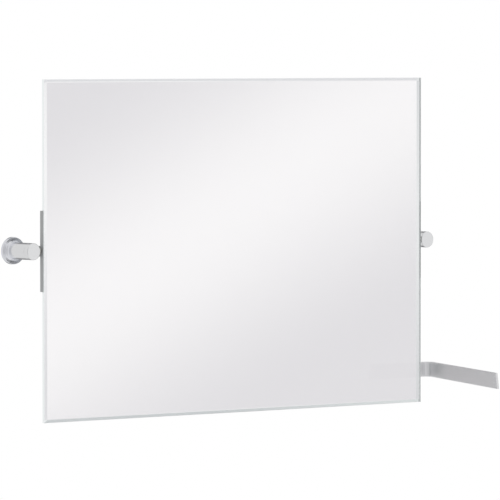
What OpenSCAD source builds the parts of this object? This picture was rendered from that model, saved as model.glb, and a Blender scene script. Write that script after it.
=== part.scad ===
// Pivot wall mirror: a bevelled glass held at mid-height by a round wall bracket on each side.
// It tilts about the two pins and is moved by a bent flat lever at the lower right.
// Millimetres. X runs along the wall, Y into the wall (the wall's face is y = 0), Z is up.
// The origin is on the wall, midway between the two brackets.

/* [Glass] */
// Width of the glass
glass_w = 800; // [600:10:1000]
// Height of the glass
glass_h = 550; // [480:10:560]
// Thickness of the glass
glass_t = 6; // [5:0.5:8]
// Width of the ground bevel, seen from the front
bevel_w = 5; // [3:0.5:12]
// Depth that the bevel takes off the edge
bevel_d = 1; // [0.5:0.1:2]
// Distance from the wall to the front of the glass
glass_front = 63; // [62:0.5:66]

/* [Wall bracket] */
// Diameter of the rosette
rosette_d = 44; // [42:1:60]
// Height of the rosette's straight rim
rosette_rim = 5; // [4.5:0.5:6]
// Radius of the cove between the rosette's face and the post
rosette_cove = 4.8; // [2:0.2:5]
// Diameter of the post
post_d = 27; // [25:0.5:30]
// Distance from the wall to the post's front disc
post_len = 59; // [58:0.5:62]
// Distance from the edge of the glass to the post's axis
post_offset = 18; // [17.5:0.5:22]
// Radius of the rounded rim of the post's front disc
post_round = 1.8; // [0.8:0.1:2.4]
// Distance from the front disc back to the fine turned line round the post
cap_len = 9.5; // [8:0.5:10.5]
// Distance between the two wall screws of one bracket
screw_pitch = 28; // [27:0.5:30]
// Radius of a wall screw's hole
screw_hole_r = 2.5; // [2:0.1:2.7]

/* [Pivot] */
// Radius of the pivot pin
pin_r = 4; // [3.5:0.1:4.4]
// Radius of the pin's shoulder, which seats in the post
shoulder_r = 6; // [5.5:0.1:6.5]
// Radial clearance of the pin in its bush
pin_clearance = 0.05; // [0.02:0.01:0.1]
// Length of the holder's boss along the axis, and width of the rail's flange behind the glass
boss_len = 24; // [18:1:26]
// Radius of the boss
boss_r = 8.4; // [8.2:0.1:8.6]

/* [Holder rail] */
// Height of each holder rail
rail_h = 130; // [90:5:200]
// Thickness of the rail's flange
rail_t = 2.6; // [2:0.1:4]
// How far the rail's lip reaches over the side of the glass
lip_reach = 3; // [1:0.5:4]

/* [Lever] */
// Height of the lever's band where it leaves the glass
lever_h = 25; // [18:1:35]
// Height of the band at its tip
lever_tip_h = 26.5; // [18:0.5:40]
// Thickness of the band
lever_t = 5; // [3:0.5:6]
// Height of the lever's centre above the glass's lower edge
lever_up = 54; // [48:1:90]
// Distance from the glass's edge to the lever's inner face
lever_out = 24; // [18:0.5:40]
// Inner radius of the bend
lever_bend_r = 8.5; // [5:0.5:14]
// Distance from the wall to the lever's tip, on its upper edge
lever_reach = 224.5; // [150:0.5:300]
// Angle by which the forward limb drops
lever_drop = 4.1; // [0:0.1:8]
// Chamfer along the band's long edges
lever_chamfer = 0.7; // [0.3:0.1:1.2]

/* [Buffers] */
// Height of the rubber buffers behind the corners
buffer_h = 9; // [4:0.5:9]

/* [Hidden] */
SIDES = ["left", "right"];
$fn = 96;
eps = 0.01;
slip = 0.1; // room between pieces that only lie beside each other

// Layers behind the glass, as distances from the wall
silver_t = 0.2;
film_t = 0.4;
tape_t = 0.8;
glass_back = glass_front - glass_t;
film_front = glass_back - silver_t;
film_back = film_front - film_t;
tape_back = film_back - tape_t;
edge_x = glass_w / 2;
bracket_x = edge_x + post_offset;
boss_gap = 0.2; // from the boss to the tape
pivot_y = tape_back - boss_r - boss_gap; // from the wall to the tilting axis

// Wall plate and its spigot
plate_t = 4;
plate_r = rosette_d / 2 - 1.3;
sink_r = 4.6;
spigot_r = 8.5;
spigot_len = 15;
groove_at = 15; // distance of the locking groove from the wall
groove_d = 1;
groove_half = 1.6; // half the width of the groove's floor
cap_line = 0.35; // depth and half the width of the turned line round the post
wall_gap = 0.3; // the rosette stays just off the wall
rosette_t = 1.2;

// Stations along the tilting axis, as distances from the middle of the mirror
lip_t = 1.2;
lip_gap = 0.2;
rail_x = edge_x + lip_gap + lip_t; // outer face of rail and boss
flange_t = 1.1; // flange of the bush
shoulder_x = rail_x + flange_t + slip;
boss_x = rail_x - boss_len;
bush_wall = 2;
washer_t = 1;
washer_r = 8;
washer_x = boss_x - slip;
spring_t = 0.9;
spring_cone = 0.7;
spring_x = washer_x - washer_t;
nut_af = 13;
nut_t = 6.5;
nut_collar = 1.5;
nut_x = spring_x - spring_t - spring_cone;
pin_over = 1.5; // how far the pin stands out of the nut
pin_end_x = nut_x - nut_t - nut_collar - pin_over;
pin_tail = 9; // how far the pin passes the post's axis
counterbore = 8; // depth of the post's seat for the shoulder
pin_flat = 0.5; // depth of the flat that the locking screw meets

// Small screws
grub_r = 2.45;
grub_recess = 0.6;
hex_key_r = 1.45;

// Lever
lever_z = -glass_h / 2 + lever_up;
lever_plate_t = 3;
lever_plate_w = 84;
lever_plate_h = 56;
lever_plate_inset = 8; // from the glass's edge to the plate
lever_plate_x = edge_x - lever_plate_inset - lever_plate_w; // inner end of the plate
lever_front = tape_back - lever_plate_t; // front face of the limb behind the glass
lever_back = lever_front - lever_t;
lever_face_x = edge_x + lever_out;
bend_x = lever_face_x - lever_bend_r;
bend_y = lever_front + lever_bend_r;
lever_start_x = lever_plate_x + 12;
tip_slant = 4.3; // the lower corner of the tip reaches this much further
tip_z = lever_z - (lever_reach - bend_y) * tan(lever_drop);
tip_low = lever_reach + tip_slant; // distance from the wall to the tip's lower corner
top_slope = (tip_z - lever_z + (lever_tip_h - lever_h) / 2) / (lever_reach - bend_y);
lever_screw_x = [lever_start_x + 12, lever_start_x + 48];
lever_screw_r = 2.5;
lever_head_r = 4.7;

buffer_r = 7;
buffer_x = edge_x - 25;
buffer_z = glass_h / 2 - 13;

// Draws its children, modelled for the right-hand side, on the side asked for
module on_side(side) {
    if (side == "right") children();
    else mirror([1, 0, 0]) children();
}

// Turns a shape that stands on its base so that it grows from the wall into the room
module off_wall(x, away, z) {
    translate([x, -away, z]) rotate([90, 0, 0]) children();
}

// Turns a shape that stands on its base so that it runs along the tilting axis, outwards
module on_axis(x) {
    translate([x, -pivot_y, 0]) rotate([0, 90, 0]) children();
}

// A flat sheet behind the glass, from one distance off the wall to another
module sheet(w, h, near, far) {
    translate([-w / 2, -far, -h / 2]) cube([w, far - near, h]);
}

// A plate with rounded corners, standing on its base
module rounded_plate(w, h, t, r) {
    translate([r, 0, 0]) cube([w - 2 * r, h, t]);
    translate([0, r, 0]) cube([w, h - 2 * r, t]);
    for (x = [r, w - r]) for (y = [r, h - r]) translate([x, y, 0]) cylinder(h = t, r = r, $fn = 48);
}

// A hexagon socket set screw with a blunt cone point at its top
module grub_screw(length) {
    point = 1.2;
    difference() {
        union() {
            translate([0, 0, 0.4]) cylinder(h = length - point - 0.4, r = grub_r, $fn = 48);
            cylinder(h = 0.4, r1 = grub_r - 0.4, r2 = grub_r, $fn = 48);
            translate([0, 0, length - point]) cylinder(h = point, r1 = grub_r, r2 = 1.3, $fn = 48);
        }
        translate([0, 0, -eps]) cylinder(h = 2.5, r = hex_key_r, $fn = 6);
    }
}

// Bevelled glass: two outlines, each with its front edges ground off, cut from each other
module bevel_outline(w) {
    polygon([
        [-w / 2, glass_back], [w / 2, glass_back],
        [w / 2, glass_front - bevel_d], [w / 2 - bevel_w, glass_front],
        [-w / 2 + bevel_w, glass_front], [-w / 2, glass_front - bevel_d]
    ]);
}

module mirror_glass() {
    color("lightcyan", 0.6) intersection() {
        mirror([0, 1, 0]) linear_extrude(glass_h, center = true) bevel_outline(glass_w);
        rotate([90, 0, -90]) linear_extrude(glass_w, center = true)
            mirror([1, -1, 0]) bevel_outline(glass_h);
    }
}

module silver_layer() {
    color("silver") sheet(glass_w - 1, glass_h - 1, film_front, glass_back);
}

module safety_film() {
    color("slategray") sheet(glass_w - 3, glass_h - 3, film_back, film_front);
}

// Holder rail: a lip round the glass's edge, a flange behind it and a ribbed boss for the pin
module side_rail(side) {
    rail_back = tape_back - rail_t;
    rib_t = 5;
    rib_z = rail_h / 2 - 19;
    color("lightsteelblue") on_side(side) difference() {
        union() {
            mirror([0, 1, 0]) translate([0, 0, -rail_h / 2]) linear_extrude(rail_h) polygon([
                [rail_x, rail_back], [rail_x, glass_back + lip_reach],
                [rail_x - lip_t, glass_back + lip_reach], [rail_x - lip_t, tape_back],
                [boss_x, tape_back], [boss_x, rail_back + 1], [boss_x + 1, rail_back]
            ]);
            on_axis(boss_x) cylinder(h = boss_len, r = boss_r);
            translate([boss_x, -tape_back, -boss_r]) cube([boss_len, tape_back - pivot_y, 2 * boss_r]);
            translate([boss_x + boss_len / 2 + rib_t / 2, 0, 0]) rotate([90, 0, -90])
                linear_extrude(rib_t) polygon([
                    [rail_back + 1, -rib_z - 4], [rail_back, -rib_z], [pivot_y - 5, -boss_r + 1],
                    [pivot_y - 5, boss_r - 1], [rail_back, rib_z], [rail_back + 1, rib_z + 4]
                ]);
        }
        on_axis(boss_x - 1) cylinder(h = boss_len + 2, r = pin_r + bush_wall);
    }
}

module rail_tape(side) {
    color("white") on_side(side)
        translate([boss_x + 1, -tape_back - tape_t, -rail_h / 2 + 2])
            cube([edge_x - 2 - (boss_x + 1), tape_t, rail_h - 4]);
}

// Flanged bush pressed into the boss: the pin turns in it and the flange meets the pin's shoulder
module pivot_bush(side) {
    outer = pin_r + bush_wall - 0.02;
    inner = pin_r + pin_clearance;
    color("ivory") on_side(side) on_axis(boss_x + 0.3) rotate_extrude() polygon([
        [inner, 0], [outer - 0.5, 0], [outer, 0.5], [outer, boss_len - 0.3],
        [outer + 1.5, boss_len - 0.3], [outer + 1.5, boss_len - 0.3 + flange_t],
        [inner, boss_len - 0.3 + flange_t]
    ]);
}

module lever_base() {
    color("lightsteelblue") difference() {
        off_wall(lever_plate_x, lever_front, lever_z - lever_plate_h / 2)
            rounded_plate(lever_plate_w, lever_plate_h, lever_plate_t, 5);
        for (x = lever_screw_x) off_wall(x, lever_front - 1, lever_z)
            cylinder(h = lever_plate_t + 2, r = lever_screw_r, $fn = 48);
    }
}

module lever_tape() {
    color("white") off_wall(lever_plate_x + 2, tape_back, lever_z - lever_plate_h / 2 + 2)
        rounded_plate(lever_plate_w - 4, lever_plate_h - 4, tape_t, 4);
}

// Section of the lever's band: its thickness along X, its height from low to high along Y
module band_section(low, high) {
    c = lever_chamfer;
    polygon([
        [c, low], [lever_t - c, low], [lever_t, low + c], [lever_t, high - c],
        [lever_t - c, high], [c, high], [0, high - c], [0, low + c]
    ]);
}

// Lever: a flat bar behind the glass, bent to run forward past its edge and drop a little
module lever_arm() {
    limb = bend_x - lever_start_x;
    half = lever_h / 2;
    past = 1.5 * lever_tip_h; // the cut at the tip runs past the band
    color("silver") difference() {
        union() {
            translate([lever_start_x, -lever_front, lever_z]) rotate([90, 0, 90])
                linear_extrude(limb) band_section(-half, half);
            translate([bend_x, -bend_y, lever_z]) rotate_extrude(angle = 90)
                translate([lever_bend_r, 0]) band_section(-half, half);
            hull() {
                off_wall(lever_face_x, bend_y, lever_z) linear_extrude(eps) band_section(-half, half);
                off_wall(lever_face_x, tip_low, 0) linear_extrude(eps)
                    band_section(tip_z - lever_tip_h / 2, lever_z + half + top_slope * (tip_low - bend_y));
            }
        }
        translate([lever_face_x + lever_t + 1, 0, tip_z]) rotate([90, 0, -90])
            linear_extrude(lever_t + 2) polygon([
                [lever_reach - tip_slant, past], [tip_low + tip_slant, -past],
                [tip_low + past, -past], [tip_low + past, past]
            ]);
        for (x = lever_screw_x) {
            off_wall(x, lever_back - 1, lever_z)
                cylinder(h = lever_t + 2, r = lever_screw_r + slip, $fn = 48);
            off_wall(x, lever_back - eps, lever_z)
                cylinder(h = 2.5, r1 = lever_head_r + slip, r2 = lever_screw_r, $fn = 48);
        }
    }
}

// Two countersunk screws hold the lever to its base plate
module lever_screws() {
    head = 2.3;
    color("dimgray") for (x = lever_screw_x) off_wall(x, lever_back + 0.1, lever_z) difference() {
        union() {
            cylinder(h = head, r1 = lever_head_r, r2 = lever_screw_r - 0.05, $fn = 48);
            translate([0, 0, head])
                cylinder(h = lever_t + lever_plate_t - head - 0.3, r = lever_screw_r - 0.05, $fn = 48);
        }
        translate([0, 0, -eps]) cylinder(h = 1.8, r = hex_key_r, $fn = 6);
    }
}

// Rubber buffers near the corners: they meet the wall before the glass does
module wall_buffers() {
    color("dimgray") for (x = [-1, 1]) for (z = [-1, 1])
        translate([x * buffer_x, -film_back, z * buffer_z])
            rotate([-90, 0, 0]) rotate_extrude($fn = 48) polygon([
                [0, 0], [buffer_r, 0], [buffer_r, 1.5], [buffer_r - 0.8, buffer_h - 1.6],
                [buffer_r - 1.7, buffer_h - 0.5], [buffer_r - 3, buffer_h], [0, buffer_h]
            ]);
}

// Wall plate: two countersunk holes and a grooved spigot for the post
module wall_plate(side) {
    sink = sink_r - screw_hole_r;
    color("gray") on_side(side) off_wall(bracket_x, 0, 0) difference() {
        rotate_extrude() polygon([
            [0, 0], [plate_r, 0], [plate_r, plate_t - 0.6], [plate_r - 0.6, plate_t],
            [spigot_r, plate_t], [spigot_r, groove_at - groove_half - groove_d],
            [spigot_r - groove_d, groove_at - groove_half],
            [spigot_r - groove_d, groove_at + groove_half],
            [spigot_r, groove_at + groove_half + groove_d],
            [spigot_r, plate_t + spigot_len - 1], [spigot_r - 1, plate_t + spigot_len],
            [0, plate_t + spigot_len]
        ]);
        for (z = [-1, 1]) translate([0, z * screw_pitch / 2, 0]) {
            translate([0, 0, -1]) cylinder(h = plate_t + 2, r = screw_hole_r, $fn = 48);
            translate([0, 0, plate_t - sink])
                cylinder(h = sink + eps, r1 = screw_hole_r, r2 = sink_r + eps, $fn = 48);
        }
    }
}

// Rosette: a turned cup with a chamfered rim and a low step, open to the post
module rosette(side) {
    outer = rosette_d / 2;
    hole = post_d / 2 + 0.15;
    neck = hole + 0.4;
    top = rosette_rim + 1;
    face = top + 0.4;
    cove = min(rosette_cove, outer - 2.9 - neck);
    color("gainsboro") on_side(side) off_wall(bracket_x, 0, 0) rotate_extrude() polygon([
        [outer - rosette_t, wall_gap], [outer, wall_gap], [outer, rosette_rim],
        [outer - 1, top], [outer - 2.4, top], [outer - 2.7, face],
        for (a = [90:-15:0]) [neck + cove * (1 - cos(a)), face + cove * (1 - sin(a))],
        [hole, face + cove], [hole, top - rosette_t], [outer - rosette_t, top - rosette_t]
    ]);
}

// Post: a turned bar with a socket for the spigot, a stepped cross bore for the pin
// and two tapped holes underneath for the locking screws
module post(side) {
    r = post_d / 2;
    line_at = post_len - cap_len;
    color("gainsboro") on_side(side) off_wall(bracket_x, 0, 0) difference() {
        rotate_extrude() polygon([
            [0, plate_t], [r, plate_t],
            [r, line_at - cap_line], [r - cap_line, line_at], [r, line_at + cap_line],
            for (a = [0:18:90]) [
                r - post_round * (1 - cos(a)), post_len - post_round * (1 - sin(a))
            ],
            [0, post_len]
        ]);
        translate([0, 0, plate_t - 1]) cylinder(h = spigot_len + 1.5, r = spigot_r + slip);
        translate([-r - 1, 0, pivot_y]) rotate([0, 90, 0])
            cylinder(h = r + 1 + pin_tail, r = pin_r + 0.02);
        translate([-r - 1, 0, pivot_y]) rotate([0, 90, 0])
            cylinder(h = counterbore + 1, r = shoulder_r + 0.02);
        for (z = [groove_at, pivot_y]) translate([0, 0, z]) rotate([90, 0, 0])
            cylinder(h = r + 1, r = grub_r + 0.05, $fn = 48);
    }
}

// Locking screw that enters the post from below, at a distance off the wall, and ends at a radius
module locking_screw(side, away, tip) {
    head = post_d / 2 - grub_recess;
    color("dimgray") on_side(side) translate([bracket_x, -away, -head]) grub_screw(head - tip);
}

// Pivot pin: its shouldered end is locked in the post, its thin end carries spring and nut
module pivot_pin(side) {
    seat_x = bracket_x - post_d / 2 + counterbore;
    end_x = bracket_x + pin_tail - 0.3;
    color("silver") on_side(side) difference() {
        on_axis(0) rotate_extrude() polygon([
            [0, pin_end_x], [pin_r - 0.7, pin_end_x], [pin_r, pin_end_x + 0.7], [pin_r, shoulder_x],
            [shoulder_r - 0.3, shoulder_x], [shoulder_r, shoulder_x + 0.3],
            [shoulder_r, seat_x - slip], [pin_r, seat_x - slip], [pin_r, end_x - 0.5],
            [pin_r - 0.5, end_x], [0, end_x]
        ]);
        translate([bracket_x - 3.2, -pivot_y - pin_r, -pin_r - 1])
            cube([6.4, 2 * pin_r, 1 + pin_flat]);
    }
}

module thrust_washer(side) {
    color("silver") on_side(side) on_axis(washer_x - washer_t) difference() {
        cylinder(h = washer_t, r = washer_r);
        translate([0, 0, -1]) cylinder(h = washer_t + 2, r = pin_r + slip);
    }
}

// Disc spring: it presses the boss on the pin's shoulder, so the mirror stays where it is put
module disc_spring(side) {
    inner = pin_r + slip;
    color("darkgray") on_side(side) on_axis(nut_x) rotate_extrude() polygon([
        [inner, 0], [inner, spring_t], [washer_r, spring_t + spring_cone], [washer_r, spring_cone]
    ]);
}

module lock_nut(side) {
    height = nut_t + nut_collar;
    corner_r = nut_af / 2 / cos(30);
    color("silver") on_side(side) on_axis(nut_x - height) difference() {
        union() {
            intersection() {
                translate([0, 0, nut_collar]) cylinder(h = nut_t, r = corner_r, $fn = 6);
                cylinder(h = height, r1 = nut_af / 2 - 2.2, r2 = nut_af / 2 - 2.2 + height);
                cylinder(h = height, r1 = nut_af / 2 - 0.4 + height, r2 = nut_af / 2 - 0.4);
            }
            cylinder(h = nut_collar + eps, r = nut_af / 2 - 1);
        }
        translate([0, 0, -1]) cylinder(h = height + 2, r = pin_r + 0.05);
    }
}

mirror_glass();
silver_layer();
safety_film();
lever_base();
lever_tape();
lever_arm();
lever_screws();
wall_buffers();
for (side = SIDES) {
    side_rail(side);
    rail_tape(side);
    pivot_bush(side);
    wall_plate(side);
    rosette(side);
    post(side);
    locking_screw(side, groove_at, spigot_r - groove_d);
    pivot_pin(side);
    locking_screw(side, pivot_y, pin_r - pin_flat);
    thrust_washer(side);
    disc_spring(side);
    lock_nut(side);
}
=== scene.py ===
# %% [markdown]
# # A pivot wall mirror
# A wide bevelled glass hangs between two round wall brackets and tilts about the line through
# them. A flat bent lever at the lower right moves it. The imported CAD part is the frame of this
# scene: it says where every piece is, and which of them turn with the glass. Blender adds the
# finishes, the soft edges and the light. Everything is in metres, with the wall at y = 0 and the
# room on the -Y side.

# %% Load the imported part
import bmesh
import bpy
from math import atan2, cos, pi, radians, sin, tan
from mathutils import Matrix, Vector


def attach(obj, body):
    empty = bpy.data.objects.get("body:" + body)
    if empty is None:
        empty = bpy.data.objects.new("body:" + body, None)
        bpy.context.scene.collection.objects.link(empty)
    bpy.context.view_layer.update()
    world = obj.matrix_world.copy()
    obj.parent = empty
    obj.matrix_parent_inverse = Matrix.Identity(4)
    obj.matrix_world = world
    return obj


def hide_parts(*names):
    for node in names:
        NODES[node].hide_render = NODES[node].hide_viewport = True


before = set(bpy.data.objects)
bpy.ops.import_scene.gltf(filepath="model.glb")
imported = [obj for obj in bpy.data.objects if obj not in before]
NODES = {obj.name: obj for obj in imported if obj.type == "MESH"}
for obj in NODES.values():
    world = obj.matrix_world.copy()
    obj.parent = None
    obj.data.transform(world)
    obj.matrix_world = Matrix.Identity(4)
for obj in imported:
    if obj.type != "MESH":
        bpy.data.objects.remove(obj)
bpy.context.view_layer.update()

# %% [markdown]
# ## Small helpers
# A new piece is drawn as a bmesh in millimetres, which is how the drawings of such fittings read.
# This helper turns it into an object in metres, with its place in its mesh, and says which CAD
# node it stands for, which body carries it and which finish it has. Its modifier lets large faces
# set the normals, so that flats stay evenly lit up to their rounded edges.

# %% Turn a bmesh into a piece of the mirror
MM = 0.001


def piece(bm, name, body, slot, finishes, *replaced, smooth=40):
    """Keeps a bmesh drawn in millimetres as a finished object in metres."""
    bmesh.ops.scale(bm, vec=(MM, MM, MM), verts=bm.verts)
    mesh = bpy.data.meshes.new(name)
    bm.to_mesh(mesh)
    bm.free()
    mesh.shade_smooth()
    mesh.set_sharp_from_angle(angle=radians(smooth))
    for coat in finishes:
        mesh.materials.append(coat)
    made = bpy.data.objects.new(name, mesh)
    bpy.context.scene.collection.objects.link(made)
    weights = made.modifiers.new("even_flats", "WEIGHTED_NORMAL")
    weights.keep_sharp = True
    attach(made, body)
    if replaced:
        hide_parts(*replaced)
    stands_for = ", ".join(replaced) or "nothing"
    print(f"{name}: {len(mesh.polygons)} faces on {body}, stands for {stands_for}")
    return made


# %% [markdown]
# Sharp corners catch no light, so this helper rounds the edges that fold by more than a given
# angle. A bevel modifier could do that too, but here the rounding belongs to the mesh, so that a
# hole that is cut later goes through rounded edges.


# %% Round the edges
def ease(bm, width, angle=35, segments=3, only=None):
    """Rounds every edge that folds by more than an angle in degrees."""
    folds = [e for e in bm.edges if len(e.link_faces) == 2
             and e.calc_face_angle(0) > radians(angle) and (only is None or only(e))]
    bmesh.ops.bevel(bm, geom=folds, offset=width, offset_type="OFFSET", affect="EDGES",
                    segments=segments, profile=0.5, material=-1, clamp_overlap=True)


# %% [markdown]
# ## Finishes
# Each finish is a Principled shader whose colour, roughness or bump is varied a little by noise
# on the object's own coordinates, in the scale of the real surface. Metals get most of their look
# from what they mirror, so their colours shift only a little and the fine structure sits in the
# roughness.


# %% Start a finish
def finish(name, colour, **sockets):
    """A material with one Principled shader. Constant values go on its sockets."""
    made = bpy.data.materials.new(name)
    made.use_nodes = True
    shader = made.node_tree.nodes["Principled BSDF"]
    shader.inputs["Base Color"].default_value = (*colour, 1)
    for socket, value in sockets.items():
        shader.inputs[socket.replace("_", " ")].default_value = value
    made.diffuse_color = (*colour, 1)
    print("finish:", name)
    return made


def node(made, kind, **values):
    """Adds a node. A value that isn't one of its settings goes on the input of that name."""
    added = made.node_tree.nodes.new(kind)
    for key, value in values.items():
        if hasattr(added, key):
            setattr(added, key, value)
        else:
            added.inputs[key.replace("_", " ")].default_value = value
    return added


def wire(made, source, target):
    """Joins an output of one node to an input of another."""
    made.node_tree.links.new(source, target)


# %% [markdown]
# A real surface is never the same all over. Photographs of surfaces could be laid on, but noise
# needs no picture, has no seams and can be stretched to any grain. One noise moves the roughness,
# and the same noise can move the colour and the height, because on a real surface those change at
# the same places.


# %% Vary a finish
def grain(made, stretch, low, high, scale=1.0, coordinates="Object"):
    """Lets noise, stretched along the axes, move the roughness between two values."""
    shader = made.node_tree.nodes["Principled BSDF"]
    place = node(made, "ShaderNodeTexCoord")
    stretched = node(made, "ShaderNodeMapping", vector_type="POINT")
    stretched.inputs["Scale"].default_value = stretch
    noise = node(made, "ShaderNodeTexNoise", Scale=scale, Detail=3.0)
    spread = node(made, "ShaderNodeMapRange")  # noise seldom goes below 0.3 or above 0.7
    spread.inputs["From Min"].default_value = 0.3
    spread.inputs["From Max"].default_value = 0.7
    spread.inputs["To Min"].default_value = low
    spread.inputs["To Max"].default_value = high
    wire(made, place.outputs[coordinates], stretched.inputs["Vector"])
    wire(made, stretched.outputs["Vector"], noise.inputs["Vector"])
    wire(made, noise.outputs["Fac"], spread.inputs["Value"])
    wire(made, spread.outputs["Result"], shader.inputs["Roughness"])
    return noise


def tint(made, noise, dark, light):
    """Lets the same noise shift the colour between two near shades."""
    shader = made.node_tree.nodes["Principled BSDF"]
    shades = node(made, "ShaderNodeMix", data_type="RGBA", blend_type="MIX")
    shades.inputs["A"].default_value = (*dark, 1)
    shades.inputs["B"].default_value = (*light, 1)
    wire(made, noise.outputs["Fac"], shades.inputs["Factor"])
    wire(made, shades.outputs["Result"], shader.inputs["Base Color"])


def bumps(made, noise, height, strength):
    """Lets the same noise raise the surface by a height in metres."""
    shader = made.node_tree.nodes["Principled BSDF"]
    bump = node(made, "ShaderNodeBump", Strength=strength, Distance=height)
    wire(made, noise.outputs["Fac"], bump.inputs["Height"])
    wire(made, bump.outputs["Normal"], shader.inputs["Normal"])


# %% [markdown]
# ## The glass
# A mirror is a sheet of float glass, silvered on its back. Here it is 6 mm thick, and its front
# edges are ground to a flat bevel 5 mm wide and polished. Its measures are written down once,
# because the plate, its ground sides and the silver all follow them.

# %% Measures of the glass, in millimetres
SHEET_W, SHEET_H, GLASS_T = 800.0, 550.0, 6.0
SKIN, SKIN_GAP = 0.03, 0.02  # the ground surface of the sides, and the air inside it
GLASS_W, GLASS_H = SHEET_W - 2 * (SKIN + SKIN_GAP), SHEET_H - 2 * (SKIN + SKIN_GAP)
GLASS_BACK = 57.0  # from the wall to the back of the glass
BEVEL_W, BEVEL_D = 5.0, 1.0
ARRIS = 0.25
print("glass", SHEET_W, "x", SHEET_H, "x", GLASS_T, "mm, bevelled", BEVEL_W, "mm wide")

# %% [markdown]
# Real glass is green where light has a long way through it. A volume shader could do that, but it
# is slow and noisy, and a plate this thin gets by with clear constant glass and a colour for each
# kind of face. The bevels are a little greener, and those at the right and the bottom carry a
# painted shade that makes them darker, as in the photograph. Only the ground surface has a grain.

# %% Clear glass, its bevels and its ground sides
clear_glass = finish("clear_glass", (0.995, 0.998, 0.997), Roughness=0.0, IOR=1.52,
                     Transmission_Weight=1.0)
near_bevel = finish("near_bevel_glass", (0.96, 0.985, 0.98), Roughness=0.0, IOR=1.52,
                    Transmission_Weight=1.0)
# painted shade: a darker copy of the bevel glass, for the bevels at the right and the bottom
painted_shade_bevel = finish("painted_shade_bevel_glass", (0.76, 0.81, 0.80), Roughness=0.0, IOR=1.52,
                   Transmission_Weight=1.0)
ground_glass = finish("ground_glass", (0.86, 0.89, 0.88), Roughness=0.5, IOR=1.3)
tint(ground_glass, grain(ground_glass, (1, 1, 1), 0.42, 0.6, scale=700),
     (0.83, 0.865, 0.855), (0.89, 0.915, 0.905))
side_glass = finish("side_glass", (0.96, 0.99, 0.985), Roughness=0.0, IOR=1.52,
                    Transmission_Weight=1.0)

# %% [markdown]
# The plate could be a box with a bevel modifier, but such a bevel is always even on both sides.
# Pulling the outline forward twice, and drawing it in the second time, gives the shallow slope
# that the grinder makes. The rims get a tiny arris, as a polisher leaves it. The plate is drawn
# lying down, which is easy to read, and then stood up before the wall.


# %% Draw the bevelled sheet
def off_wall(bm, x=0.0, away=0.0):
    """Stands a shape that was drawn upwards on the wall, so that it grows into the room."""
    bmesh.ops.rotate(bm, cent=(0, 0, 0), matrix=Matrix.Rotation(pi / 2, 3, "X"), verts=bm.verts)
    bmesh.ops.translate(bm, vec=(x, -away, 0), verts=bm.verts)
    return bm


def bevelled_sheet():
    """The clear plate, drawn lying down from its outline and then stood up before the wall."""
    bm = bmesh.new()
    bmesh.ops.create_grid(bm, x_segments=1, y_segments=1, size=0.5)
    bmesh.ops.scale(bm, vec=(GLASS_W, GLASS_H, 1), verts=bm.verts)
    outline = bm.faces[:]
    for rise, draw_in in ((GLASS_T - BEVEL_D, 0), (BEVEL_D, BEVEL_W)):
        grown = bmesh.ops.extrude_face_region(bm, geom=outline)["geom"]
        corners = [v for v in grown if isinstance(v, bmesh.types.BMVert)]
        bmesh.ops.delete(bm, geom=[f for f in outline if rise == BEVEL_D], context="FACES_ONLY")
        outline = [f for f in grown if isinstance(f, bmesh.types.BMFace)]
        bmesh.ops.translate(bm, vec=(0, 0, rise), verts=corners)
        bmesh.ops.scale(bm, vec=(1 - 2 * draw_in / GLASS_W, 1 - 2 * draw_in / GLASS_H, 1),
                        verts=corners)
    bmesh.ops.recalc_face_normals(bm, faces=bm.faces)
    ease(bm, ARRIS, angle=60, segments=1)
    return off_wall(bm, away=GLASS_BACK)


# %% [markdown]
# Each face of the plate gets its finish by the way it looks: the flat faces are clear, the bevels
# are tinted, those at the right and the bottom darker with a painted shade, and the sides are
# clear to the light inside. The normals say which is which, so no face has to be picked by hand.

# %% Give the plate its finishes
FLAT, LEANING, UPRIGHT = 0.999, 0.9, 0.4  # the part of a face's normal that points at the room
ASIDE = 0.1  # the part that points right or down, on the far sides
GLASS_COATS = [clear_glass, near_bevel, painted_shade_bevel, side_glass, ground_glass]
sheet = bevelled_sheet()
for face in sheet.faces:
    face.normal_update()
    squarely = abs(face.normal.y)
    # the faces that point right or down; their bevels get the painted shade
    painted_shade_side = face.normal.x > ASIDE or face.normal.z < -ASIDE
    if UPRIGHT < squarely < LEANING and not painted_shade_side:
        coat = ground_glass  # the arrises of the near sides
    elif squarely > FLAT:
        coat = clear_glass
    elif squarely < LEANING:
        coat = side_glass
    else:
        # painted shade: the bevels at the right and the bottom get the darker glass
        coat = painted_shade_bevel if painted_shade_side else near_bevel
    face.material_index = GLASS_COATS.index(coat)
piece(sheet, "glass_plate", "mirror", "glass", GLASS_COATS, "mirror_glass", smooth=5)

# %% [markdown]
# The sides are ground but not polished, so they scatter light and look pale from outside, while
# inside the glass light is still mirrored along them. Both looks come out when the ground surface
# is a skin of its own round the sheet, three hundredths of a millimetre thick, with a breath of
# air under it.

# %% Ground sides
bm = bmesh.new()
bmesh.ops.create_grid(bm, x_segments=1, y_segments=1, size=0.5)
bmesh.ops.scale(bm, vec=(SHEET_W, SHEET_H, 1), verts=bm.verts)
rim = bmesh.ops.inset_region(bm, faces=bm.faces[:], thickness=SKIN, use_even_offset=True,
                             use_boundary=True)["faces"]
bmesh.ops.delete(bm, geom=[f for f in bm.faces if f not in rim], context="FACES")
skin = bmesh.ops.extrude_face_region(bm, geom=bm.faces[:])["geom"]
bmesh.ops.translate(bm, vec=(0, 0, GLASS_T - BEVEL_D - ARRIS),
                    verts=[v for v in skin if isinstance(v, bmesh.types.BMVert)])
bmesh.ops.recalc_face_normals(bm, faces=bm.faces)
piece(off_wall(bm, away=GLASS_BACK), "ground_sides", "mirror", "glass", [ground_glass])

# %% [markdown]
# ## The silvering
# The silver is a film far thinner than a hair, painted over at the back. Drawn as thin as it is,
# and touching the glass, its face and the glass's back would fight for the same place in the
# render. So it is a thin sheet that starts a few hundredths of a millimetre behind the glass. Its
# colour and polish drift by about a hundredth, as those of a sprayed coat do.

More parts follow.
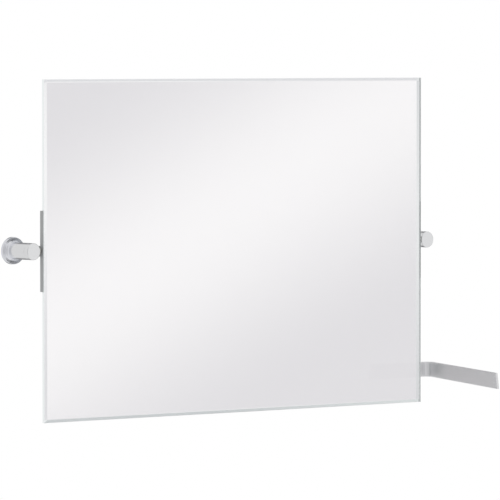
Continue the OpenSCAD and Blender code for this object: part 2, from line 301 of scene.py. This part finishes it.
# %% Silver
silver = finish("silver", (0.952, 0.936, 0.945), Metallic=1.0)
tint(silver, grain(silver, (1, 1, 1), 0.0, 0.004, scale=5),
     (0.947, 0.931, 0.940), (0.957, 0.941, 0.950))
SILVER_T, SILVER_INSET = 0.15, 0.5
SILVER_AIR = 0.025  # between the silver and the glass
SILVER_MIDDLE = GLASS_BACK - SILVER_AIR - SILVER_T / 2  # from the wall
bm = bmesh.new()
bmesh.ops.create_cube(bm, size=1)
bmesh.ops.scale(bm, vec=(GLASS_W - 2 * SILVER_INSET, SILVER_T, GLASS_H - 2 * SILVER_INSET),
                verts=bm.verts)
bmesh.ops.translate(bm, vec=(0, -SILVER_MIDDLE, 0), verts=bm.verts)
piece(bm, "silver_coat", "mirror", "silvering", [silver], "silver_layer")

# %% [markdown]
# ## The rosettes
# Each bracket starts with a turned cup on the wall that hides the screws. It is polished brass
# with bright chrome on it, which is nearly a mirror. A slight roughness that drifts from place to
# place keeps it from looking like one.

# %% Bright chrome
chrome = finish("bright_chrome", (0.90, 0.91, 0.95), Metallic=1.0)
tint(chrome, grain(chrome, (1, 1, 1), 0.19, 0.24, scale=90),
     (0.885, 0.895, 0.935), (0.915, 0.925, 0.965))

# %% [markdown]
# The cups and posts of this mirror are turned on a lathe. Spinning their profile about an axis
# does the same. A screw modifier would too, but a spun mesh can be rounded and cut at once.

# %% Draw what a lathe makes
SAME_POINT = 1e-4  # millimetres


def turned(profile):
    """A closed solid of revolution about +Z from (radius, height) points, in millimetres."""
    bm = bmesh.new()
    points = [bm.verts.new((r, 0, h)) for r, h in profile]
    chain = [bm.edges.new(pair) for pair in zip(points, points[1:])]
    if profile[0][0] or profile[-1][0]:
        chain.append(bm.edges.new((points[-1], points[0])))
    bmesh.ops.spin(bm, geom=points + chain, cent=(0, 0, 0), axis=(0, 0, 1),
                   angle=2 * pi, steps=128, use_merge=True)
    bmesh.ops.remove_doubles(bm, verts=bm.verts, dist=SAME_POINT)
    bmesh.ops.recalc_face_normals(bm, faces=bm.faces)
    return bm


# %% [markdown]
# The photograph shows, from the cup's rim inwards, a straight side, a chamfer, a flat ring, a
# small step and a cove that rises to the post. All of that is one profile. It is drawn upwards,
# and the spun shape is laid over, so that up becomes out of the wall.

# %% Turn the cups
SIDES = (("left", -1), ("right", 1))
BRACKET_X = 418.0
ROSETTE_R, ROSETTE_RIM, ROSETTE_WALL = 22.0, 5.0, 1.2
POST_R, POST_LEN = 13.5, 59.0
WALL_GAP = 0.3
CHAMFER, RING_IN, STEP_IN, STEP_UP = 1.0, 2.4, 2.7, 0.4
COVE_R, COVE_STEPS = 4.8, 16
SLIP, LIP = 0.04, 0.1  # the air round the post, and the flat edge where the cove ends
CUP_EDGE = 0.15
top = ROSETTE_RIM + CHAMFER
face_at = top + STEP_UP
hole = POST_R + SLIP
neck = hole + LIP
turns = [pi / 2 * (1 - k / COVE_STEPS) for k in range(COVE_STEPS + 1)]
cup = [
    (ROSETTE_R - ROSETTE_WALL, WALL_GAP), (ROSETTE_R, WALL_GAP), (ROSETTE_R, ROSETTE_RIM),
    (ROSETTE_R - CHAMFER, top), (ROSETTE_R - RING_IN, top), (ROSETTE_R - STEP_IN, face_at),
    *[(neck + COVE_R * (1 - cos(a)), face_at + COVE_R * (1 - sin(a))) for a in turns],
    (hole, face_at + COVE_R), (hole, top - ROSETTE_WALL),
    (ROSETTE_R - ROSETTE_WALL, top - ROSETTE_WALL),
]
for side, sign in SIDES:
    bm = turned(cup)
    ease(bm, CUP_EDGE, angle=25)
    piece(off_wall(bm, x=sign * BRACKET_X), f"rosette_cup_{side}", "wall_side", "chrome", [chrome],
          f"rosette_{side}")

# %% [markdown]
# ## The posts
# A post is a turned bar that stands off the wall beside the glass. It was polished in the lathe
# before it was plated, so its roughness runs round it in very fine lines. Noise that changes fast
# along the post and slowly across it draws them.

# %% Soft chrome
soft_chrome = finish("soft_chrome", (0.93, 0.935, 0.94), Metallic=1.0)
tint(soft_chrome, grain(soft_chrome, (40, 900, 40), 0.13, 0.17),
     (0.91, 0.915, 0.92), (0.95, 0.955, 0.96))

# %% [markdown]
# The pin of the tilting axis goes through the post, two set screws reach in from below, and a
# socket takes the spigot of the wall plate. Such holes could be left out by building the mesh
# round them, but they meet inside the bar. A boolean does what the workshop does: a round cutter
# goes in at a point, along an axis, to a depth.


# %% Drill and cut
def drill(radius, start, axis, length, end_radius=None):
    """A round cutter that runs from a point along an axis. With two radii it is a countersink."""
    bm = bmesh.new()
    bmesh.ops.create_cone(bm, cap_ends=True, segments=48, radius1=radius,
                          radius2=radius if end_radius is None else end_radius, depth=length)
    bmesh.ops.translate(bm, vec=(0, 0, length / 2), verts=bm.verts)
    turn = Vector(axis).to_track_quat("Z", "Y").to_matrix()
    bmesh.ops.rotate(bm, cent=(0, 0, 0), matrix=turn, verts=bm.verts)
    bmesh.ops.translate(bm, vec=start, verts=bm.verts)
    return bm


def cut(bm, *cutters):
    """Takes cutters out of a blank with booleans and gives back what is left."""
    held = []
    for shape in (bm, *cutters):
        mesh = bpy.data.meshes.new("blank")
        shape.to_mesh(mesh)
        shape.free()
        held.append(bpy.data.objects.new("blank", mesh))
        bpy.context.scene.collection.objects.link(held[-1])
    for cutter in held[1:]:
        step = held[0].modifiers.new("cut", "BOOLEAN")
        step.operation, step.solver, step.object = "DIFFERENCE", "EXACT", cutter
    left = held[0].evaluated_get(bpy.context.evaluated_depsgraph_get()).to_mesh()
    result = bmesh.new()
    result.from_mesh(left)
    for blank in held:
        bpy.data.meshes.remove(blank.data)
    return result


# %% [markdown]
# The post's front is a flat disc with a rounded rim, and a fine turned line runs round it a
# little further back. The bar is turned first, then its rim is rounded, and the bores come last,
# because they go through the finished bar.

# %% Turn the bars
PLATE_T = 4.0
SCREW_AT, PIVOT_Y = 15.0, 47.0  # from the wall
SCREW_R, SOCKET_R, SOCKET_END = 2.5, 8.6, 19.5
PIN_R, PIN_TAIL, SEAT_R, SEAT_DEPTH = 4.02, 9.0, 6.02, 8.0
RIM_ROUND, CAP_LEN, CAP_LINE = 1.8, 9.5, 0.35
START = 1.0  # a cutter starts this far outside the metal, or it would leave a skin
line_at = POST_LEN - CAP_LEN
front_at = POST_LEN - 0.1  # what is drawn above this is the front rim
bar = [(0, PLATE_T), (POST_R, PLATE_T), (POST_R, line_at - CAP_LINE), (POST_R - CAP_LINE, line_at),
       (POST_R, line_at + CAP_LINE), (POST_R, POST_LEN), (0, POST_LEN)]
for side, sign in SIDES:
    bm = turned(bar)
    ease(bm, RIM_ROUND, angle=60, segments=6, only=lambda e: e.verts[0].co.z > front_at)
    centre, inner = sign * BRACKET_X, sign * (BRACKET_X - POST_R)
    inward = (inner - sign * START, -PIVOT_Y, 0)
    out = (sign, 0, 0)
    bm = cut(off_wall(bm, x=centre),
             drill(SOCKET_R, (centre, -PLATE_T + START, 0), (0, -1, 0),
                   SOCKET_END - PLATE_T + START),
             drill(PIN_R, inward, out, POST_R + START + PIN_TAIL),
             drill(SEAT_R, inward, out, SEAT_DEPTH + START),
             *[drill(SCREW_R, (centre, -away, -POST_R - START), (0, 0, 1), POST_R + START)
               for away in (SCREW_AT, PIVOT_Y)])
    piece(bm, f"post_bar_{side}", "wall_side", "satin_chrome", [soft_chrome], f"post_{side}")

# %% [markdown]
# ## The lever
# The lever is a flat bar of satin steel, brushed along its length. Lines on Object coordinates
# would run straight through its bend, so the bar gets a UV map of its own, whose first axis is
# the distance along the band. The noise is stretched along that axis.

# %% Satin steel
satin = finish("satin_steel", (0.89, 0.89, 0.90), Metallic=1.0)
brushing = grain(satin, (12, 1400, 1), 0.36, 0.42, coordinates="UV")
tint(satin, brushing, (0.86, 0.86, 0.87), (0.92, 0.92, 0.93))
bumps(satin, brushing, 0.00001, 0.06)

# %% [markdown]
# The bar is bent once. Its short limb is screwed to a plate behind the glass, and its long limb
# comes forward past the edge and drops a little. It could be a curve with a profile, but its
# slanted tip is easier to draw on a mesh. So a section is drawn along the path: straight by
# extruding, round the bend by spinning, and straight again.

# %% Bend the bar
LEVER_Z = -221.0
LEVER_FRONT, LEVER_T, LEVER_H = 52.6, 5.0, 25.0
LEVER_START, BEND_X, BEND_Y, BEND_R = 320.0, 415.5, 61.1, 8.5
LEVER_REACH, TIP_H, TIP_SLANT, DROP = 224.5, 26.5, 4.3, radians(4.1)
LEVER_EDGE = 0.8
print("lever band", LEVER_T, "x", LEVER_H, "mm, bent round", BEND_R, "mm")


def bent_bar():
    """The bar without its holes: a short limb along the glass, the bend, and the long limb."""
    bm = bmesh.new()
    bmesh.ops.create_grid(bm, x_segments=1, y_segments=1, size=0.5)
    bmesh.ops.scale(bm, vec=(LEVER_T, LEVER_H, 1), verts=bm.verts)
    bmesh.ops.rotate(bm, cent=(0, 0, 0), matrix=Matrix.Rotation(pi / 2, 3, "X"), verts=bm.verts)
    bmesh.ops.rotate(bm, cent=(0, 0, 0), matrix=Matrix.Rotation(pi / 2, 3, "Z"), verts=bm.verts)
    bmesh.ops.translate(bm, vec=(LEVER_START, -LEVER_FRONT + LEVER_T / 2, LEVER_Z), verts=bm.verts)
    end = bm.faces[:]

    def grow():
        """Extrudes the end once more and gives back its new corners and its new face."""
        made = bmesh.ops.extrude_face_region(bm, geom=end)["geom"]
        return ([v for v in made if isinstance(v, bmesh.types.BMVert)],
                [f for f in made if isinstance(f, bmesh.types.BMFace)])

    corners, face = grow()
    bmesh.ops.translate(bm, vec=(BEND_X - LEVER_START, 0, 0), verts=corners)
    spun = bmesh.ops.spin(bm, geom=face, cent=(BEND_X, -BEND_Y, 0), axis=(0, 0, 1),
                          angle=-pi / 2, steps=16)["geom_last"]
    bmesh.ops.delete(bm, geom=[f for f in face if f.is_valid], context="FACES_ONLY")
    end = [f for f in spun if isinstance(f, bmesh.types.BMFace)]
    corners, face = grow()
    bmesh.ops.delete(bm, geom=[f for f in end if f.is_valid], context="FACES_ONLY")
    run = LEVER_REACH - BEND_Y
    tip_z = LEVER_Z - run * tan(DROP)
    for v in corners:
        low = v.co.z < LEVER_Z
        v.co.y = -LEVER_REACH - (TIP_SLANT if low else 0)
        v.co.z = tip_z + (-TIP_H / 2 if low else TIP_H / 2)
    bmesh.ops.remove_doubles(bm, verts=bm.verts, dist=SAME_POINT)
    bmesh.ops.recalc_face_normals(bm, faces=bm.faces)
    ease(bm, LEVER_EDGE, angle=50, segments=4)
    return bm


# %% [markdown]
# Two countersunk holes take the screws. They are drilled before the UV map is laid on, because a
# boolean makes new corners, and each corner needs its place along the band.

# %% Drill the bar and lay its brushing along it
LEVER_SCREWS = (332.0, 368.0)
HOLE_R, SINK_R, SINK_END_R, SINK_DEPTH = 2.6, 4.8, 2.5, 2.5


def along_band(point):
    """How far a point lies along the bent band, in metres."""
    if point.x < BEND_X:
        return (point.x - LEVER_START) * MM
    turned_by = min(pi / 2, atan2(point.x - BEND_X, max(point.y + BEND_Y, 0)))
    past_bend = max(0, -point.y - BEND_Y)
    return (BEND_X - LEVER_START + turned_by * (BEND_R + LEVER_T / 2) + past_bend) * MM


lever = bent_bar()
behind = -LEVER_FRONT + LEVER_T
room_side = (0, -1, 0)
lever = cut(lever, *[drill(HOLE_R, (x, behind + START, LEVER_Z), room_side, LEVER_T + 2 * START)
                     for x in LEVER_SCREWS],
            *[drill(SINK_R, (x, behind, LEVER_Z), room_side, SINK_DEPTH, end_radius=SINK_END_R)
              for x in LEVER_SCREWS])
path = lever.loops.layers.uv.new("along_band")
for face in lever.faces:
    for corner in face.loops:
        point = corner.vert.co
        corner[path].uv = (along_band(point), point.z * MM)
lever = piece(lever, "lever_bar", "mirror", "satin_steel", [satin], "lever_arm", smooth=30)
lever.visible_transmission = False  # in the photograph the glass doesn't show the lever

# %% [markdown]
# ## Finishes of the other parts
# The rest of the fittings are mostly out of sight from the front, but not from the side or the
# back. Drawn aluminium has fine lines along its length, the film is a matt woven plastic, foam
# has pores, and nylon is smooth and a little waxy. Each of them is one noise, stretched and
# scaled like the real surface.

# %% Rails, film, tape and bushes
anodised = finish("anodised_aluminium", (0.50, 0.51, 0.51), Metallic=1.0)
drawn_lines = grain(anodised, (1600, 1600, 8), 0.34, 0.44)
tint(anodised, drawn_lines, (0.48, 0.49, 0.49), (0.52, 0.53, 0.53))
bumps(anodised, drawn_lines, 0.00001, 0.1)
film = finish("safety_film", (0.44, 0.455, 0.47))
weave = grain(film, (700, 1, 700), 0.48, 0.62)
tint(film, weave, (0.405, 0.42, 0.435), (0.475, 0.49, 0.505))
bumps(film, weave, 0.00003, 0.25)
foam = finish("foam_tape", (0.72, 0.72, 0.70))
pores = grain(foam, (1, 1, 1), 0.7, 0.9, scale=1800)
tint(foam, pores, (0.62, 0.62, 0.60), (0.80, 0.80, 0.78))
bumps(foam, pores, 0.0001, 0.5)
nylon = finish("nylon", (0.78, 0.76, 0.69))
tint(nylon, grain(nylon, (1, 1, 1), 0.35, 0.45, scale=300), (0.75, 0.73, 0.66), (0.81, 0.79, 0.72))

# %% [markdown]
# Turned pins have fine rings, zinc is mottled, spring steel is dark, and rubber is matt with a
# dusty bloom. The steels have no bump, because what the eye sees of their grain at this size is
# the change in roughness.

# %% Screws, pins, nuts, springs and buffers
screw_steel = finish("screw_steel", (0.60, 0.60, 0.61), Metallic=1.0)
tint(screw_steel, grain(screw_steel, (1, 1, 1), 0.25, 0.35, scale=500),
     (0.56, 0.56, 0.57), (0.64, 0.64, 0.65))
pin_steel = finish("pin_steel", (0.72, 0.72, 0.73), Metallic=1.0)
tint(pin_steel, grain(pin_steel, (900, 60, 60), 0.16, 0.24),
     (0.69, 0.69, 0.70), (0.75, 0.75, 0.76))
zinc = finish("zinc", (0.74, 0.75, 0.77), Metallic=1.0)
mottles = grain(zinc, (1, 1, 1), 0.3, 0.45, scale=260)
tint(zinc, mottles, (0.68, 0.69, 0.70), (0.79, 0.80, 0.83))
spring_steel = finish("spring_steel", (0.20, 0.20, 0.21), Metallic=1.0)
tint(spring_steel, grain(spring_steel, (1, 1, 1), 0.35, 0.45, scale=400),
     (0.16, 0.16, 0.17), (0.24, 0.24, 0.25))
rubber = finish("rubber", (0.035, 0.035, 0.036))
bloom = grain(rubber, (1, 1, 1), 0.6, 0.75, scale=900)
tint(rubber, bloom, (0.025, 0.025, 0.026), (0.05, 0.05, 0.052))
bumps(rubber, bloom, 0.00005, 0.4)

# %% [markdown]
# The CAD part knows its materials by name only, so each of its nodes gets the finish of that
# name. Pieces that were drawn anew above take the place of their nodes, and the others are seen
# as they are.

# %% Give every CAD node its finish
FINISHES = {
    "aluminium": anodised, "film": film, "foam_tape": foam, "nylon": nylon,
    "screw_steel": screw_steel, "pin_steel": pin_steel, "zinc_steel": zinc,
    "spring_steel": spring_steel, "rubber": rubber, "glass": clear_glass, "silvering": silver,
    "chrome": chrome, "satin_chrome": soft_chrome, "satin_steel": satin,
}
for solid in NODES.values():
    for holder in solid.material_slots:
        holder.material = FINISHES[holder.material.name.split(".")[0]]
print("finishes given to", len(NODES), "CAD nodes")

# %% [markdown]
# ## Soft edges
# Extruded, stamped and moulded pieces have no knife edges. Their CAD shapes are right and only
# too sharp, but a CAD mesh is loose triangles, and the seams between them would stop a bevel. So
# a copy is welded, triangles that lie in one plane are joined to whole faces, and only then are
# the edges rounded.

# %% Soften the edges of a piece that keeps its CAD shape
WELD = 1e-6  # metres
IN_ONE_PLANE = radians(0.5)


def softened(name, body, slot, coat, width):
    """Copies a CAD node, joins its loose triangles to whole faces and rounds its edges."""
    bm = bmesh.new()
    bm.from_mesh(NODES[name].data)
    bmesh.ops.remove_doubles(bm, verts=bm.verts, dist=WELD)
    bmesh.ops.scale(bm, vec=(1 / MM, 1 / MM, 1 / MM), verts=bm.verts)
    bmesh.ops.dissolve_limit(bm, angle_limit=IN_ONE_PLANE, verts=bm.verts, edges=bm.edges)
    bmesh.ops.recalc_face_normals(bm, faces=bm.faces)
    ease(bm, width, segments=2)
    return piece(bm, f"soft_{name}", body, slot, [coat], name, smooth=30)


# %% [markdown]
# The edges are rounded by what a deburring wheel or a mould leaves. The pieces that hide inside
# others stay as they are.

# %% Soft edges
for name, body, slot, coat, width in (
        ("side_rail", "mirror", "aluminium", anodised, 0.35),
        ("wall_plate", "wall_side", "zinc_steel", zinc, 0.3),
        ("pivot_pin", "wall_side", "pin_steel", pin_steel, 0.2),
        ("lock_nut", "wall_side", "zinc_steel", zinc, 0.25)):
    for side, _ in SIDES:
        softened(f"{name}_{side}", body, slot, coat, width)
softened("lever_base", "mirror", "aluminium", anodised, 0.4)
softened("lever_screws", "mirror", "screw_steel", screw_steel, 0.12)
softened("wall_buffers", "mirror", "rubber", rubber, 0.5)

# %% [markdown]
# ## The camera
# The photograph was taken from well to the left with a long lens: round posts look 0.775 times as
# wide as tall, which puts the wall 39 degrees off square. The camera stands where that, and the
# outline of the glass, say it does.

# %% Camera
IMAGE = 500
AZIMUTH, ELEVATION, DISTANCE = radians(-39.34), radians(2.23), 8.630
TARGET = Vector((0.02706, -0.060, -0.00816))
FOCAL_PIXELS = 5229
away = Vector((sin(AZIMUTH) * cos(ELEVATION), -cos(AZIMUTH) * cos(ELEVATION), sin(ELEVATION)))
lens = bpy.data.cameras.new("camera")
lens.sensor_width = 36  # millimetres
lens.lens = FOCAL_PIXELS / IMAGE * lens.sensor_width
lens.clip_end = 100
camera = bpy.data.objects.new("camera", lens)
camera.location = TARGET + DISTANCE * away
camera.rotation_euler = (-away).to_track_quat("-Z", "Y").to_euler()
bpy.context.scene.collection.objects.link(camera)
bpy.context.scene.camera = camera
print("camera at", tuple(round(v, 3) for v in camera.location), "lens", round(lens.lens, 1), "mm")

# %% [markdown]
# ## What the mirror sees
# A mirror has no look of its own. It shows what stands where the camera's mirror image looks, and
# in a studio that is cloth. A picture round the world could stand for it, but then glass and
# metal would see the same one. A glowing sphere can be shown to one kind of ray only. The camera
# doesn't see it, and it neither lights anything nor casts a shadow.

# %% Hang a sphere of glowing cloth
CLOTH_R = 4.0


def cloth(name):
    """A sphere of cloth round the object, with a shader that still needs its greys."""
    bm = bmesh.new()
    bmesh.ops.create_icosphere(bm, subdivisions=4, radius=CLOTH_R)
    bmesh.ops.reverse_faces(bm, faces=bm.faces)
    mesh = bpy.data.meshes.new(name)
    bm.to_mesh(mesh)
    bm.free()
    mesh.shade_smooth()
    made = bpy.data.objects.new(name, mesh)
    bpy.context.scene.collection.objects.link(made)
    made.visible_camera = made.visible_diffuse = made.visible_shadow = False
    shade = bpy.data.materials.new(name)
    shade.use_nodes = True
    shade.node_tree.nodes.clear()
    mesh.materials.append(shade)
    print(name, "of cloth,", CLOTH_R, "m round the object")
    return made, shade


# %% [markdown]
# A band of light on the cloth is a slice of the sphere between two planes, and so is a darker end
# of the room. That is why a dot product with a direction, and a ramp that turns it into greys,
# are enough to draw them.


# %% Shade the cloth
def towards(shade, place, direction, low, high, *greys):
    """Greys along a direction: a smooth ramp of (position, grey) steps, low to high metres."""
    along = node(shade, "ShaderNodeVectorMath", operation="DOT_PRODUCT")
    along.inputs[1].default_value = direction
    whole = node(shade, "ShaderNodeMapRange")
    whole.inputs["From Min"].default_value = low
    whole.inputs["From Max"].default_value = high
    ramp = node(shade, "ShaderNodeValToRGB")
    ramp.color_ramp.interpolation = "EASE"
    stops = ramp.color_ramp.elements
    stops[0].position, stops[1].position = greys[0][0], greys[-1][0]
    for stop, (_, grey) in zip(stops, (greys[0], greys[-1])):
        stop.color = (*grey, 1)
    for position, grey in greys[1:-1]:
        stops.new(position).color = (*grey, 1)
    wire(shade, place.outputs["Object"], along.inputs[0])
    wire(shade, along.outputs["Value"], whole.inputs["Value"])
    wire(shade, whole.outputs["Result"], ramp.inputs["Fac"])
    return ramp.outputs["Color"]


def glow(shade, colour):
    """Ends the shader: the cloth glows in a colour."""
    light = node(shade, "ShaderNodeEmission")
    out = node(shade, "ShaderNodeOutputMaterial")
    wire(shade, colour, light.inputs["Color"])
    wire(shade, light.outputs["Emission"], out.inputs["Surface"])


def both(shade, kind, first, second):
    """Multiplies two colours, or takes the lighter one."""
    mixed = node(shade, "ShaderNodeMix", data_type="RGBA", blend_type=kind, Factor=1.0)
    wire(shade, first, mixed.inputs["A"])
    wire(shade, second, mixed.inputs["B"])
    return mixed.outputs["Result"]


def share(angle):
    """Where an angle from the camera's direction lies between its opposite (0) and itself (1)."""
    return (1 + cos(radians(angle))) / 2


# %% [markdown]
# The glass shows pale cloth with a soft diagonal band of light, as in the photograph. So the dome
# that only glass sees has this band on the line of sight that the glass reflects. It is darker
# behind the camera, because the flank of the lever sees that part by way of the glass.

# %% The dome that the glass sees, with its soft diagonal band
sight = -away
glance = Vector((sight.x, -sight.y, sight.z))  # the line of sight after the mirror
right = glance.cross(Vector((0, 0, 1))).normalized()
BAND_TURN = radians(90 - 32.76)  # the band's lean in the picture
BAND_MIDDLE, BAND_HALF = 0.092, 0.439
lean = right * cos(BAND_TURN) + right.cross(glance) * sin(BAND_TURN)
middle = BAND_MIDDLE + lean.dot(Vector((0, -GLASS_BACK * MM, 0)))
WHITE, PALE = (1.0, 1.0, 1.0), (0.797, 0.794, 0.811)
FLOOR_Z, HAZE_TOP = -1.25, -0.35  # the cloth pales towards the floor, so that no horizon shows

dome, shade = cloth("dome")
dome.visible_glossy = False
place = node(shade, "ShaderNodeTexCoord")
band = towards(shade, place, lean, middle - BAND_HALF, middle + BAND_HALF,
               (0.0, PALE), (0.5, WHITE), (1.0, PALE))
room = towards(shade, place, away, -CLOTH_R, CLOTH_R,
               (share(60), WHITE), (share(14), (0.79, 0.79, 0.78)))
near_floor = towards(shade, place, Vector((0, 0, 1)), FLOOR_Z, HAZE_TOP,
                     (0.0, (0.93, 0.93, 0.93)), (1.0, (0, 0, 0)))
glow(shade, both(shade, "LIGHTEN", both(shade, "MULTIPLY", band, room), near_floor))

# %% [markdown]
# Polished metal in a white void would look white. Studios hang a tent of grey cloth round such
# things. This one is a second sphere, that only metal sees. It is darker behind the camera, where
# no lamp stands, and darkest behind the mirror, which draws the dark lines along the edges of
# round bars.

# %% The tent that metal sees
tent, shade = cloth("tent")
tent.visible_transmission = False
place = node(shade, "ShaderNodeTexCoord")
round_it = towards(shade, place, away, -CLOTH_R, CLOTH_R,
                   (share(150), (0.22, 0.22, 0.23)), (share(126), (0.76, 0.76, 0.765)),
                   (share(50), (0.76, 0.76, 0.765)), (share(12), (0.56, 0.56, 0.57)))
beside = towards(shade, place, glance, -CLOTH_R, CLOTH_R,
                 (0.0, (0.92, 0.92, 0.92)), (1.0, WHITE))
glow(shade, both(shade, "MULTIPLY", round_it, beside))

# %% [markdown]
# ## Floor, background and light
# The mirror hangs over a plain pale floor. It is a large round sheet, so that the fittings stand
# free before it in any view. Metal doesn't see it, because it would hide the part of the tent
# below it.

# %% Floor
FLOOR_R = 5.0
pale = finish("pale_floor", (0.86, 0.86, 0.86), Roughness=0.9)
bm = bmesh.new()
bmesh.ops.create_circle(bm, cap_ends=True, segments=96, radius=FLOOR_R)
bmesh.ops.translate(bm, vec=(0, 0, FLOOR_Z), verts=bm.verts)
mesh = bpy.data.meshes.new("floor")
bm.to_mesh(mesh)
bm.free()
mesh.materials.append(pale)
floor = bpy.data.objects.new("floor", mesh)
bpy.context.scene.collection.objects.link(floor)
floor.visible_glossy = False  # so that metal sees the tent below it as well
print("floor", FLOOR_R, "m round,", -FLOOR_Z, "m below the middle of the glass")

# %% [markdown]
# The background is white, also for a reflected or refracted ray that passes the dome and the
# tent. The rays that light rough surfaces see a hair less. The Light Path node tells one kind of
# ray from another.

# %% World
world = bpy.data.worlds.new("studio")
bpy.context.scene.world = world
world.use_nodes = True
world.node_tree.nodes.clear()
ray = node(world, "ShaderNodeLightPath")
seen = node(world, "ShaderNodeMath", operation="MAXIMUM")
seen_all = node(world, "ShaderNodeMath", operation="MAXIMUM")
level = node(world, "ShaderNodeMix", data_type="RGBA")
level.inputs["A"].default_value = (0.95, 0.95, 0.96, 1)
level.inputs["B"].default_value = (1, 1, 1, 1)
sky = node(world, "ShaderNodeBackground", Strength=1.0)
end = node(world, "ShaderNodeOutputWorld")
wire(world, ray.outputs["Is Camera Ray"], seen.inputs[0])
wire(world, ray.outputs["Is Glossy Ray"], seen.inputs[1])
wire(world, seen.outputs["Value"], seen_all.inputs[0])
wire(world, ray.outputs["Is Transmission Ray"], seen_all.inputs[1])
wire(world, seen_all.outputs["Value"], level.inputs["Factor"])
wire(world, level.outputs["Result"], sky.inputs["Color"])
wire(world, sky.outputs["Background"], end.inputs["Surface"])
print("world:", world.name)

# %% [markdown]
# Two large soft lamps light the fittings from the front, at a level that leaves colours as
# written. Round lamps give shadows without corners. Mirrors don't show them, because the dome and
# the tent already stand for what those see.


# %% Lamps
def lamp(name, spot, size, power):
    """A round soft lamp that looks at the mirror and isn't itself mirrored."""
    light = bpy.data.lights.new(name, "AREA")
    light.shape = "DISK"
    light.size = size
    light.energy = power
    made = bpy.data.objects.new(name, light)
    made.location = spot
    made.rotation_euler = (Vector(spot)).to_track_quat("Z", "Y").to_euler()
    made.visible_glossy = made.visible_transmission = False
    bpy.context.scene.collection.objects.link(made)
    print(name, power, "W at", spot)


lamp("key_lamp", spot=(1.6, -3.2, 2.6), size=2.0, power=20)
lamp("fill_lamp", spot=(-3.0, -2.4, 1.6), size=2.0, power=8)

# %% [markdown]
# ## The last settings
# The visual model may not be bigger than the CAD model. Light that goes round inside the bevels
# needs many turns before it finds its way out, and a low limit would leave black edges, so the
# limit on bounces is high.

# %% The last settings
BOUNCES = 80
bpy.context.scene.view_settings.view_transform = "Standard"
for kind in ("max_bounces", "glossy_bounces", "transmission_bounces"):
    setattr(bpy.context.scene.cycles, kind, BOUNCES)
